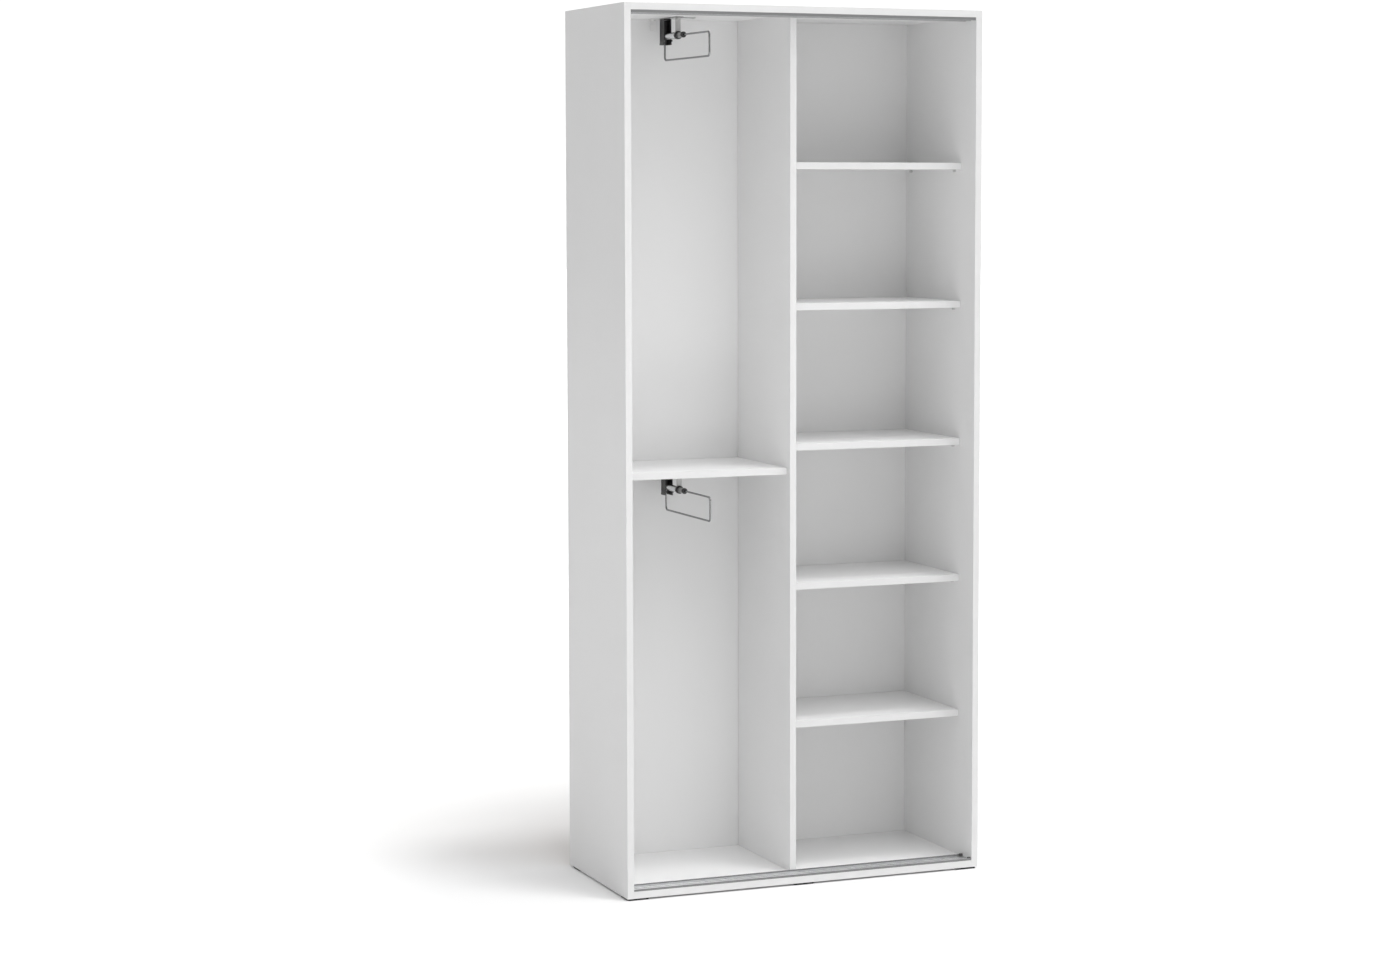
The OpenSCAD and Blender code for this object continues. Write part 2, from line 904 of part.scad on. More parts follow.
// Bush that plugs the tube's front end and guides the loop's top wire
module rail_bush() {
    color(steel)
        difference() {
            union() {
                rod_y(bush_rear, tube_front, 0, -wire_drop, tube_bore_r - FIT);
                rod_y(tube_front, bush_front, 0, -wire_drop, bush_r);
            }
            rod_y(bush_rear + CUT, bush_front - CUT, 0, -wire_drop, wire_r + RUN);
        }
}

// Black cap on the bush's front end
module rail_cap() {
    color(black_plastic)
        difference() {
            rod_y(bush_front, bush_front - cap_len, 0, -wire_drop, cap_r);
            rod_y(bush_front + CUT, bush_front - cap_len - CUT, 0, -wire_drop, wire_r + RUN);
        }
}

// Quarter bend of the wire around [y, z], from the angle a up to a + 90 in the loop's plane
module wire_bend(y, z, a) {
    translate([0, y, z])
        rotate([90, 0, 90])
            rotate([0, 0, a])
                rotate_extrude(angle = 90, $fn = ROUND)
                    translate([bend_r, 0])
                        circle(r = wire_r, $fn = ROUND);
}

// Wire loop, bent at three corners, with both ends seated in the slider
module wire_loop() {
    top = -wire_drop;
    bottom = -wire_drop - loop_h;
    color(chrome) {
        rod_y(slider_front + wire_seat, loop_front + bend_r, 0, top, wire_r);
        wire_bend(loop_front + bend_r, top - bend_r, 90);
        rod_z(top - bend_r, bottom + bend_r, 0, loop_front, wire_r);
        wire_bend(loop_front + bend_r, bottom + bend_r, 180);
        rod_y(loop_front + bend_r, loop_rear - bend_r, 0, bottom, wire_r);
        wire_bend(loop_rear - bend_r, bottom + bend_r, 270);
        rod_z(bottom + bend_r, top - slider_r + wire_seat, 0, loop_rear, wire_r);
    }
}

// Slider that runs in the guide tube and holds the two ends of the wire
module rail_slider() {
    low_z = -wire_drop - slider_r;
    color(black_plastic)
        difference() {
            rod_y(slider_rear, slider_front, 0, -wire_drop, slider_r);
            rod_y(slider_front + wire_seat + FIT, slider_front - CUT, 0, -wire_drop, wire_r + FIT);
            rod_z(low_z - CUT, low_z + wire_seat + FIT, 0, loop_rear, wire_r + FIT);
        }
}

// Pan-head screw with its head under z = 0 and its point up
module rail_screw() {
    difference() {
        union() {
            rod_z(-rail_head_h, 0, 0, 0, rail_head_r);
            rod_z(0, rail_screw_len, 0, 0, rail_screw_r);
        }
        translate([0, 0, -rail_head_h]) {
            cube([4, 0.8, 2.4], center = true);
            cube([0.8, 4, 2.4], center = true);
        }
    }
}

module rail_screw_set() {
    for (s = rail_screws_at)
        translate([s[0], s[1], -s[2]])
            rail_screw();
}

module rail_screws() {
    color(steel) {
        upper_rail() rail_screw_set();
        lower_rail() rail_screw_set();
    }
}

// ---- Assembly ----

left_side();
right_side();
top_panel();
bottom_panel();
divider();
back_left();
back_right();
back_joint_strip();
left_shelf();
right_shelf(1);  // right_shelf_1
right_shelf(2);  // right_shelf_2
right_shelf(3);  // right_shelf_3
right_shelf(4);  // right_shelf_4
right_shelf(5);  // right_shelf_5
side_edging();
top_edging();
bottom_edging();
divider_edging();
shelf_edging();
top_track_base();
top_track_lips();
bottom_track_base();
bottom_track_lips();
door_stops();
foot(0, 0);  // foot_front_left
foot(1, 0);  // foot_front_middle
foot(2, 0);  // foot_front_right
foot(0, 1);  // foot_rear_left
foot(1, 1);  // foot_rear_middle
foot(2, 1);  // foot_rear_right
cam_housings();
cam_bolts();
dowels();
confirmat_screws();
shelf_pins();
track_screws();
foot_screws();
rail_screws();
upper_rail() rail_plate();  // upper_rail_plate
upper_rail() rail_housing();  // upper_rail_housing
upper_rail() rail_bracket();  // upper_rail_bracket
upper_rail() rail_tube();  // upper_rail_tube
upper_rail() rail_collar();  // upper_rail_collar
upper_rail() rail_strap();  // upper_rail_strap
upper_rail() rail_bush();  // upper_rail_bush
upper_rail() rail_cap();  // upper_rail_cap
upper_rail() wire_loop();  // upper_wire_loop
upper_rail() rail_slider();  // upper_rail_slider
lower_rail() rail_plate();  // lower_rail_plate
lower_rail() rail_housing();  // lower_rail_housing
lower_rail() rail_bracket();  // lower_rail_bracket
lower_rail() rail_tube();  // lower_rail_tube
lower_rail() rail_collar();  // lower_rail_collar
lower_rail() rail_strap();  // lower_rail_strap
lower_rail() rail_bush();  // lower_rail_bush
lower_rail() rail_cap();  // lower_rail_cap
lower_rail() wire_loop();  // lower_wire_loop
lower_rail() rail_slider();  // lower_rail_slider
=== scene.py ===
"""Open sliding-door wardrobe: finishes, fittings, studio floor, light and camera."""
import json
from math import cos, pi, radians, sin

import bmesh
import bpy
from mathutils import Matrix, Vector


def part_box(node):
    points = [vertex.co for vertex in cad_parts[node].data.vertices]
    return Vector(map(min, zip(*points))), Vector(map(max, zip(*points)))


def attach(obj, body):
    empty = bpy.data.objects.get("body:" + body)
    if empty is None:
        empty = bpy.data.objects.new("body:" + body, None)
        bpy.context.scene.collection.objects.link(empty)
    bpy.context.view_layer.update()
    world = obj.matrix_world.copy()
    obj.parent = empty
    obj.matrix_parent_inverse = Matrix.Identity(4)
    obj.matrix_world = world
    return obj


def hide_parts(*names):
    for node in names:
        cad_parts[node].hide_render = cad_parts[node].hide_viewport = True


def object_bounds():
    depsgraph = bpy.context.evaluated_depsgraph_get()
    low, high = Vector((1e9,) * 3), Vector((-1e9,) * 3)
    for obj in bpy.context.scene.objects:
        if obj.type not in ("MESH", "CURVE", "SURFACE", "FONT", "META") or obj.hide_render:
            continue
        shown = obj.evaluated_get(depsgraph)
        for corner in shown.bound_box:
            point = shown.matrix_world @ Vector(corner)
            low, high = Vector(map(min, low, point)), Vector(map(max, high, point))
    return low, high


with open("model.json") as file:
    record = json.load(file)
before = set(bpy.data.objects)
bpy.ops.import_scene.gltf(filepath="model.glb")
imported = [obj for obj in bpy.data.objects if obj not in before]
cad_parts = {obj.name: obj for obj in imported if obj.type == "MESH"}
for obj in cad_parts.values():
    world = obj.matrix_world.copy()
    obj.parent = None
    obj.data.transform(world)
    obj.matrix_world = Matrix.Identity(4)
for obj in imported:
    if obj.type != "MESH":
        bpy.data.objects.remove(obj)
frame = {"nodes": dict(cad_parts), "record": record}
cad_low, cad_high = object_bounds()

MM = 0.001
NODES = frame["nodes"]
RAILS = ("upper", "lower")
FEET = [f"foot_{row}_{column}" for row in ("front", "rear") for column in ("left", "middle", "right")]


# ---- Camera ----

def make_camera():
    """Stands a little left of the wardrobe's front, near eye level, and looks slightly down."""
    data = bpy.data.cameras.new("camera")
    data.lens = 79.3
    data.sensor_width = 36
    data.shift_x = -0.0505
    data.shift_y = -0.016
    data.clip_end = 200
    camera = bpy.data.objects.new("camera", data)
    camera.location = (-3.175, -7.528, 1.826)
    look_down, turn_right = radians(5.034), radians(22.817)
    camera.rotation_euler = (pi / 2 - look_down, 0, -turn_right)
    bpy.context.scene.collection.objects.link(camera)
    bpy.context.scene.camera = camera


# ---- Shader recipes ----

class Value:
    """A shader socket that works in Python expressions. Each operation adds a Math node."""

    def __init__(self, recipe, socket):
        self.recipe = recipe
        self.socket = socket

    def maths(self, operation, first, second):
        return self.recipe.node("ShaderNodeMath", {"operation": operation}, {0: first, 1: second})

    def __add__(self, other):
        return self.maths("ADD", self, other)

    __radd__ = __add__

    def __sub__(self, other):
        return self.maths("SUBTRACT", self, other)

    def __rsub__(self, other):
        return self.maths("SUBTRACT", other, self)

    def __mul__(self, other):
        return self.maths("MULTIPLY", self, other)

    __rmul__ = __mul__

    def __gt__(self, other):
        return self.maths("GREATER_THAN", self, other)

    def __lt__(self, other):
        return self.maths("LESS_THAN", self, other)


class Recipe:
    """A node tree with one shader whose sockets take constants or expressions."""

    def __init__(self, owner, shader="Principled BSDF", constants=None):
        owner.use_nodes = True
        self.owner = owner
        self.tree = owner.node_tree
        self.shader = self.tree.nodes[shader]
        for name, value in (constants or {}).items():
            self.shader.inputs[name].default_value = value

    def node(self, kind, settings=None, inputs=None, output=0):
        """Adds a node, applies its settings, fills its sockets and returns one of its outputs."""
        made = self.tree.nodes.new(kind)
        for name, value in (settings or {}).items():
            if name == "stops":
                self.fill_ramp(made.color_ramp, value)
            else:
                setattr(made, name, value)
        for name, value in (inputs or {}).items():
            if isinstance(value, Value):
                self.tree.links.new(value.socket, made.inputs[name])
            else:
                made.inputs[name].default_value = value
        return Value(self, made.outputs[output])

    @staticmethod
    def fill_ramp(ramp, stops):
        for index, (position, colour) in enumerate(stops):
            element = ramp.elements[index] if index < 2 else ramp.elements.new(position)
            element.position = position
            element.color = colour

    def feed(self, name, value):
        """Links an expression to one of the shader's sockets."""
        self.tree.links.new(value.socket, self.shader.inputs[name])

    def place(self, scale=(1, 1, 1)):
        """Object coordinates in metres, stretched by a Mapping node."""
        point = self.node("ShaderNodeTexCoord", output="Object")
        return self.node("ShaderNodeMapping", inputs={"Vector": point, "Scale": scale})

    def part(self, vector, axis):
        """One component of a vector."""
        return self.node("ShaderNodeSeparateXYZ", inputs={"Vector": vector}, output=axis)

    def facing(self, axis):
        """One component of the surface's direction, in the object's own frame."""
        return self.part(self.node("ShaderNodeTexCoord", output="Normal"), axis)

    def noise(self, scale, stretch=(1, 1, 1), detail=3.0, roughness=0.5):
        return self.node("ShaderNodeTexNoise", inputs={
            "Vector": self.place(stretch), "Scale": scale, "Detail": detail, "Roughness": roughness})

    def blend(self, factor, first, second):
        """Mixes two colours, which are tuples or expressions."""
        return self.node("ShaderNodeMix", {"data_type": "RGBA"}, {0: factor, 6: first, 7: second}, 2)

    def ramp(self, factor, stops):
        return self.node("ShaderNodeValToRGB", {"stops": stops}, {0: factor})

    def bump(self, height, distance, strength=1.0):
        """Feeds the shader's Normal; distance is the height of the relief in metres."""
        self.feed("Normal", self.node("ShaderNodeBump", inputs={
            "Height": height, "Distance": distance, "Strength": strength}))


def grey(level, warmth=0.0):
    """A linear colour, a little warmer or cooler than neutral."""
    return (level * (1 + warmth), level, level * (1 - warmth), 1)


def finish(name, **constants):
    """A new material's recipe; the keywords name the shader's sockets with underscores."""
    sockets = {key.replace("_", " "): value for key, value in constants.items()}
    return Recipe(bpy.data.materials.new(name), constants=sockets)


def chipboard(recipe):
    """Colour of a raw cut edge: pressed wood particles, finer near the faces."""
    flakes = recipe.node("ShaderNodeTexVoronoi", {"feature": "F1"}, {
        "Vector": recipe.place((1, 1, 0.45)), "Scale": 520})
    cells = recipe.ramp(flakes, [
        (0.0, (0.22, 0.135, 0.07, 1)), (0.35, (0.46, 0.32, 0.19, 1)), (0.8, (0.62, 0.47, 0.3, 1))])
    dust = recipe.noise(1400, detail=2.0)
    return recipe.blend(dust * 0.35, cells, (0.3, 0.2, 0.11, 1))


def melamine_finish():
    """White melamine paper with shallow upright pores, raw chipboard behind and dust on top."""
    recipe = finish("white_melamine", Roughness=0.42, Specular_IOR_Level=0.42)
    pores = recipe.noise(900, (1, 1, 0.07), detail=2.0)
    clouds = recipe.noise(3, detail=2.0)
    tone = clouds * 0.6 + pores * 0.4
    paper = recipe.blend(tone, grey(0.79), grey(0.85))
    on_top = recipe.part(recipe.place(), "Z") > cad_high.z - 0.001
    dust = recipe.noise(14, detail=5.0, roughness=0.6)
    dusty = recipe.blend(dust, grey(0.6, 0.01), grey(0.7, 0.01))
    paper = recipe.blend(on_top * recipe.facing("Z"), paper, dusty)
    rear_edge = recipe.facing("Y") > 0.5
    recipe.feed("Base Color", recipe.blend(rear_edge, paper, chipboard(recipe)))
    recipe.feed("Roughness", 0.38 + pores * 0.1 + rear_edge * 0.35)
    recipe.bump(pores + rear_edge * recipe.noise(700, detail=3.0) * 4, 0.00003)
    return recipe.owner


def edging_finish():
    """White plastic edging with a satin skin and faint scraper marks along it."""
    recipe = finish("white_edging", Roughness=0.34, Specular_IOR_Level=0.5)
    scraped = recipe.noise(700, (0.04, 1, 0.04), detail=2.0)
    recipe.feed("Base Color", recipe.blend(scraped, grey(0.69), grey(0.73)))
    recipe.feed("Roughness", 0.3 + scraped * 0.1)
    recipe.bump(scraped, 0.00002)
    return recipe.owner


def hardboard_finish():
    """Thin hardboard: white lacquer with a fine skin inside, brown screen-pressed fibre behind."""
    recipe = finish("lacquered_hardboard", Roughness=0.5)
    skin = recipe.noise(1100, detail=2.0)
    lacquer = recipe.blend(skin, grey(0.76), grey(0.8))
    fibres = recipe.noise(260, (1, 1, 0.6), detail=6.0, roughness=0.65)
    brown = recipe.ramp(fibres, [
        (0.3, (0.17, 0.095, 0.045, 1)), (0.5, (0.27, 0.165, 0.085, 1)), (0.7, (0.36, 0.235, 0.13, 1))])
    waves = [recipe.node("ShaderNodeTexWave", {"bands_direction": axis, "wave_profile": "SIN"}, {
        "Vector": recipe.place(), "Scale": 110.0, "Distortion": 0.4}, 1) for axis in ("X", "Z")]
    behind = recipe.facing("Y") > 0.5
    recipe.feed("Base Color", recipe.blend(behind, lacquer, brown))
    recipe.feed("Roughness", 0.45 + skin * 0.08 + behind * 0.3)
    recipe.bump(skin * 0.2 + behind * (waves[0] * waves[1] + fibres * 0.6), 0.00012)
    return recipe.owner


def white_plastic_finish():
    """Extruded white plastic of the joint strip, with draw lines along it."""
    recipe = finish("white_plastic", Roughness=0.4)
    lines = recipe.noise(1500, (1, 1, 0.01), detail=1.0)
    recipe.feed("Base Color", recipe.blend(lines, grey(0.74), grey(0.8)))
    recipe.feed("Roughness", 0.34 + lines * 0.12)
    recipe.bump(lines, 0.00002)
    return recipe.owner


def aluminium_finish():
    """Satin anodised aluminium with extrusion lines along the track, and painted shade: a much darker colour
    on the faces of its lips that face front or back.
    """
    recipe = finish("anodised_aluminium", Metallic=1.0, Roughness=0.36)
    lines = recipe.noise(2600, (0.006, 1, 1), detail=3.0)
    stains = recipe.noise(9, (1, 6, 6), detail=2.0)
    tone = lines * 0.7 + stains * 0.3
    flat = recipe.blend(tone, grey(0.86, -0.01), grey(0.97, -0.01))
    # Painted shade: faces that face front or back, the lips' upright faces among them, get a much darker
    # colour that stands in for the shade on them.
    upright = recipe.blend(tone, grey(0.22, -0.01), grey(0.3, -0.01))
    painted_shade_lip_faces = recipe.facing("Y") * recipe.facing("Y") > 0.5
    recipe.feed("Base Color", recipe.blend(painted_shade_lip_faces, flat, upright))
    recipe.feed("Roughness", 0.3 + lines * 0.16)
    recipe.bump(lines, 0.00002)
    return recipe.owner


def moulded_finish(name, level, roughness, relief):
    """Black moulded plastic or rubber with a spark-eroded skin and rubbed high spots."""
    recipe = finish(name, Roughness=roughness, Specular_IOR_Level=0.5)
    skin = recipe.noise(3200, detail=2.0)
    rubbed = recipe.noise(60, detail=3.0)
    recipe.feed("Base Color", recipe.blend(rubbed, grey(level * 0.8), grey(level * 1.4)))
    recipe.feed("Roughness", roughness - 0.06 + skin * 0.12)
    recipe.bump(skin, relief)
    return recipe.owner


def drawn_finish(name, low, high):
    """Bright drawn wire or tube, plated, with fine drawing lines and a little clouding."""
    recipe = finish(name, Metallic=1.0, Roughness=0.16)
    lines = recipe.noise(2500, (1, 0.03, 1), detail=2.0)
    clouds = recipe.noise(120, detail=3.0)
    recipe.feed("Base Color", recipe.blend(clouds, grey(low, -0.015), grey(high, -0.01)))
    recipe.feed("Roughness", 0.12 + clouds * 0.06 + lines * 0.06)
    recipe.bump(lines, 0.000008)
    return recipe.owner


def plated_finish(name, low, high, roughness):
    """Zinc-plated steel: crystalline clouds and rolling lines."""
    recipe = finish(name, Metallic=1.0, Roughness=roughness)
    crystals = recipe.node("ShaderNodeTexVoronoi", {"feature": "F1"}, {
        "Vector": recipe.place(), "Scale": 900.0})
    clouds = recipe.noise(90, detail=4.0)
    recipe.feed("Base Color", recipe.blend(clouds * 0.7 + crystals * 0.5, grey(low, -0.01), grey(high, 0.01)))
    recipe.feed("Roughness", roughness - 0.08 + clouds * 0.16)
    recipe.bump(recipe.noise(1800, detail=2.0), 0.000015)
    return recipe.owner


def beech_finish():
    """Bare beech with short dark flecks along the dowel."""
    recipe = finish("bare_beech", Roughness=0.6)
    grain = recipe.noise(600, (0.1, 1, 1), detail=4.0)
    recipe.feed("Base Color", recipe.ramp(grain, [
        (0.35, (0.42, 0.25, 0.13, 1)), (0.55, (0.6, 0.41, 0.24, 1)), (0.75, (0.68, 0.5, 0.31, 1))]))
    recipe.feed("Roughness", 0.5 + grain * 0.2)
    recipe.bump(grain, 0.00005)
    return recipe.owner


FINISHES = {
    "melamine": melamine_finish(),
    "edging": edging_finish(),
    "hardboard": hardboard_finish(),
    "white_plastic": white_plastic_finish(),
    "anodised": aluminium_finish(),
    "foot_plastic": moulded_finish("black_foot_plastic", 0.008, 0.6, 0.00004),
    "stop_rubber": moulded_finish("dark_rubber", 0.09, 0.7, 0.00005),
    "beech": beech_finish(),
    "zinc": plated_finish("cast_zinc", 0.5, 0.66, 0.4),
    "chrome": drawn_finish("bright_tube_plating", 0.8, 0.92),
    "black_plastic": moulded_finish("black_nylon", 0.03, 0.42, 0.00003),
    "plated_steel": plated_finish("plated_sheet", 0.3, 0.42, 0.34),
    "screw_steel": plated_finish("plated_screws", 0.5, 0.68, 0.3),
}
WIRE_FINISH = drawn_finish("dark_wire_plating", 0.2, 0.34)
PALE_PLATING = plated_finish("pale_plated_sheet", 0.8, 0.95, 0.5)
SLOT_OF = {row["node"]: row["material_slot"] for row in frame["record"]["subparts"]}


def finish_cad_nodes():
    """Gives every CAD node the finish of its slot in the record."""
    for name, node in NODES.items():
        node.data.materials.clear()
        node.data.materials.append(WIRE_FINISH if name.endswith("wire_loop") else FINISHES[SLOT_OF[name]])


# ---- Studio ----

# Light of the surroundings: the direction it is centred on, how often its fall-off is squared, its strength
SKY = [((-1, 0, 0), 1, 0.18), ((1, 0, 0), 1, 0.75), ((0, -1, 0), 1, 0.76), ((0, 0, 1), 1, 0.96),
       ((0.1, -0.6, 1), 4, 2.42)]


def make_floor():
    """A wide pale floor, level with the underside of the feet."""
    bm = bmesh.new()
    bmesh.ops.create_circle(bm, cap_ends=True, segments=96, radius=60)
    bmesh.ops.translate(bm, verts=bm.verts, vec=(0, 0, cad_low.z))
    data = bpy.data.meshes.new("studio_floor")
    bm.to_mesh(data)
    bm.free()
    floor = bpy.data.objects.new("studio_floor", data)
    bpy.context.scene.collection.objects.link(floor)
    recipe = finish("pale_floor", Roughness=0.8, Specular_IOR_Level=0.1, Emission_Strength=1.0)
    recipe.feed("Base Color", recipe.blend(recipe.noise(0.7, detail=2.0), grey(0.9), grey(0.93)))
    away = recipe.node("ShaderNodeVectorMath", {"operation": "LENGTH"}, {0: recipe.place()}, "Value")
    far_glow = recipe.ramp(away * 0.2, [(0.18, grey(0)), (0.28, grey(0.14)), (0.8, grey(0.42))])
    seen = recipe.node("ShaderNodeLightPath", output="Is Camera Ray")
    recipe.feed("Emission Color", recipe.blend(seen, grey(0), far_glow))
    data.materials.append(recipe.owner)


def make_sky():
    """Plain white to look at; as light, brightest from the front and above."""
    world = bpy.data.worlds.new("studio")
    bpy.context.scene.world = world
    recipe = Recipe(world, "Background", {"Color": (1, 1, 1, 1)})
    direction = recipe.node("ShaderNodeTexCoord", output="Generated")
    light = 0.0
    for centre, squarings, strength in SKY:
        toward = recipe.node("ShaderNodeVectorMath", {"operation": "DOT_PRODUCT"}, {
            0: direction, 1: Vector(centre).normalized()}, "Value")
        lobe = toward * (toward > 0)
        for _ in range(squarings):
            lobe = lobe * lobe
        light = light + lobe * strength
    seen = recipe.node("ShaderNodeLightPath", output="Is Camera Ray")
    recipe.feed("Strength", light * (1 - seen) + seen * 1.1)


def soft_light(name, place, target, size, power, spread=180):
    """A round soft light that faces its target and isn't seen itself."""
    data = bpy.data.lights.new(name, "AREA")
    data.shape = "DISK"
    data.size = size
    data.energy = power
    data.spread = radians(spread)
    light = bpy.data.objects.new(name, data)
    light.location = place
    light.rotation_euler = (Vector(target) - Vector(place)).to_track_quat("-Z", "Y").to_euler()
    light.visible_camera = False
    bpy.context.scene.collection.objects.link(light)


def overhead_light(toward, energy, angle):
    """A soft distant light, which lights the near and the far floor alike."""
    data = bpy.data.lights.new("overhead", "SUN")
    data.energy = energy
    data.angle = radians(angle)
    light = bpy.data.objects.new("overhead", data)
    light.rotation_euler = Vector(toward).to_track_quat("Z", "Y").to_euler()
    bpy.context.scene.collection.objects.link(light)


def make_lights():
    """An overhead light, and two low ones that stand for light thrown back by the floor."""
    overhead_light((0.35, -0.4, 2.284), 0.73, 9)
    soft_light("floor_bounce", (-0.8, -3.2, 0.06), (-0.1, 0, 1.6), 2.5, 13.7)
    soft_light("ceiling_bounce", (-0.3, -1.4, 0.05), (-0.1, 0, 2.26), 0.8, 1.3, spread=60)


def make_studio():
    make_floor()
    make_sky()
    make_lights()
    bpy.context.scene.view_settings.view_transform = "Standard"


# ---- Shapes, in millimetres ----

def box_mm(node):
    """Lowest and highest corner of a CAD node, in millimetres."""
    low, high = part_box(node)
    return Vector(low) / MM, Vector(high) / MM


def reach_of(verts):
    """Lowest and highest corner of the box around some vertices."""
    return [Vector(end(vert.co[axis] for vert in verts) for axis in range(3)) for end in (min, max)]


def solids(node):
    """Boxes of the separate solids of a CAD node, in millimetres, in reading order."""
    bm = bmesh.new()
    bm.from_mesh(NODES[node].data)
    bmesh.ops.remove_doubles(bm, verts=bm.verts, dist=1e-6)
    left = set(bm.verts)
    boxes = []
    while left:
        reached = [left.pop()]
        for vert in reached:
            near = {edge.other_vert(vert) for edge in vert.link_edges} & left
            left -= near
            reached.extend(near)
        low, high = reach_of(reached)
        boxes.append((low / MM, high / MM))
    bm.free()
    return sorted(boxes, key=lambda box: tuple(round(value, 2) for value in box[0]))


def middle(low, high):
    """The point half-way between two corners."""
    return (low + high) / 2


def soften(bm, edges, width, segments=2):
    """Rounds edges, or chamfers them where there is one segment."""
    bmesh.ops.bevel(bm, geom=list(edges), offset=width, offset_type="OFFSET", affect="EDGES",
                    segments=segments, profile=0.5, material=-1, clamp_overlap=True)


def edges_along(bm, axis, tolerance=1e-4):
    """Edges parallel to X, Y or Z."""
    across = [other for other in range(3) if other != axis]
    return [edge for edge in bm.edges if all(
        abs(edge.verts[0].co[other] - edge.verts[1].co[other]) < tolerance for other in across)]


def edges_at(bm, axis, value, tolerance=1e-3):
    """Edges that lie in the plane where one coordinate has this value."""
    return [edge for edge in bm.edges
            if all(abs(vert.co[axis] - value) < tolerance for vert in edge.verts)]


def only_verts(items):
    """The vertices among the mesh elements that an operator returns."""
    return [item for item in items if isinstance(item, bmesh.types.BMVert)]


def square_edges(bm):
    """Edges where two faces meet at nearly a right angle."""
    return [edge for edge in bm.edges if edge.is_manifold and edge.calc_face_angle() > radians(69)]


def block(low, high):
    """A box between two corners."""
    low, high = Vector(low), Vector(high)
    bm = bmesh.new()
    bmesh.ops.create_cube(bm, size=1)
    bmesh.ops.scale(bm, vec=high - low, verts=bm.verts)
    bmesh.ops.translate(bm, vec=middle(low, high), verts=bm.verts)
    return bm


def pad(low, high, corner, rim, segments=5):
    """A box with round upright corners and softened rims above and below."""
    bm = block(low, high)
    soften(bm, edges_along(bm, 2), corner, segments)
    soften(bm, edges_at(bm, 2, low[2]) + edges_at(bm, 2, high[2]), rim)
    return bm


def turned(profile, sides=32, ring=False):
    """A solid of revolution about Z from (radius, height) points; a ring's profile is closed."""
    bm = bmesh.new()
    corners = [bm.verts.new((radius, 0, height)) for radius, height in profile]
    lines = [bm.edges.new(pair) for pair in zip(corners, corners[1:])]
    if ring:
        lines.append(bm.edges.new((corners[-1], corners[0])))
    bmesh.ops.spin(bm, geom=corners + lines, cent=(0, 0, 0), axis=(0, 0, 1), dvec=(0, 0, 0),
                   angle=2 * pi, steps=sides, use_merge=True, use_duplicate=False)
    bmesh.ops.remove_doubles(bm, verts=bm.verts, dist=1e-4)
    bmesh.ops.recalc_face_normals(bm, faces=bm.faces)
    return bm


def sheet(outline, fold, leg, thickness, bend):
    """Sheet metal: a flat outline with a leg that hangs from the edge between two of its points."""
    bm = bmesh.new()
    corners = [bm.verts.new((x, y, 0)) for x, y in outline]
    bm.faces.new(corners)
    hinge = bm.edges.get([corners[index] for index in fold])
    dropped = bmesh.ops.extrude_edge_only(bm, edges=[hinge])["geom"]
    bmesh.ops.translate(bm, vec=(0, 0, -leg), verts=only_verts(dropped))
    soften(bm, [hinge], bend, 4)
    bmesh.ops.recalc_face_normals(bm, faces=bm.faces)
    bmesh.ops.solidify(bm, geom=bm.faces[:], thickness=thickness)
    bmesh.ops.recalc_face_normals(bm, faces=bm.faces)
    return bm


def shifted(bm, offset):
    """The shape, moved."""
    bmesh.ops.translate(bm, vec=offset, verts=bm.verts)
    return bm


def turned_to(bm, direction, place):
    """Points a shape's +Z along a direction and moves its origin to a place."""
    turn = Vector(direction).to_track_quat("Z", "Y").to_matrix().to_4x4()
    bmesh.ops.transform(bm, matrix=Matrix.Translation(Vector(place)) @ turn, verts=bm.verts)
    return bm


def joined(parts):
    """One mesh of several closed shells."""
    whole = bmesh.new()
    for part in parts:
        mesh = bpy.data.meshes.new("part")
        part.to_mesh(mesh)
        part.free()
        whole.from_mesh(mesh)
        bpy.data.meshes.remove(mesh)
    return whole


def carved(part, cutter):
    """The part with the cutter's shape taken away."""
    holders = []
    for bm in (part, cutter):
        mesh = bpy.data.meshes.new("carving")
        bm.to_mesh(mesh)
        bm.free()
        holder = bpy.data.objects.new("carving", mesh)
        bpy.context.scene.collection.objects.link(holder)
        holders.append(holder)
    cut = holders[0].modifiers.new("cut", "BOOLEAN")
    cut.operation = "DIFFERENCE"
    cut.solver = "EXACT"
    cut.object = holders[1]
    result = bmesh.new()
    result.from_object(holders[0], bpy.context.evaluated_depsgraph_get())
    for holder in holders:
        bpy.data.meshes.remove(holder.data)
    return result


def copies(template, places):
    """A template shape at each (direction, place)."""
    made = [turned_to(template.copy(), direction, place) for direction, place in places]
    template.free()
    return joined(made)


def add_piece(name, bm, slot, stands_for, body="carcass", crease=32, look=None):
    """Makes a finished piece from a shape in millimetres, with its place in its mesh."""
    bmesh.ops.scale(bm, vec=(MM, MM, MM), verts=bm.verts)
    mesh = bpy.data.meshes.new(name)
    bm.to_mesh(mesh)
    bm.free()
    mesh.shade_smooth()
    mesh.set_sharp_from_angle(angle=radians(crease))
    mesh.materials.append(look or FINISHES[slot])
    piece = bpy.data.objects.new(name, mesh)
    bpy.context.scene.collection.objects.link(piece)
    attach(piece, body)
    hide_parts(*stands_for)


# ---- Fasteners ----

UP, DOWN = Vector((0, 0, 1)), Vector((0, 0, -1))
LEFT, RIGHT = Vector((-1, 0, 0)), Vector((1, 0, 0))
# Countersunk screw: radius and height of its head, radius of its shank
FLAT_HEAD = (3.0, 1.8, 1.6)


def threaded(radius, start, end, pitch=1.3, core=0.72):
    """Profile points of a thread, from its start down to its point."""
    points = []
    height = start
    while height - pitch > end + radius:
        points += [(radius * core, height), (radius, height - pitch / 2)]
        height -= pitch
    return points + [(radius * core, height), (0, end)]


def cross_recess(shape, size, width, depth, top=0.0):
    """Cuts a cross into a head whose face is at this height."""
    for x, y in ((size, width), (width, size)):
        shape = carved(shape, block((-x / 2, -y / 2, top - depth), (x / 2, y / 2, top + 2)))
    return shape


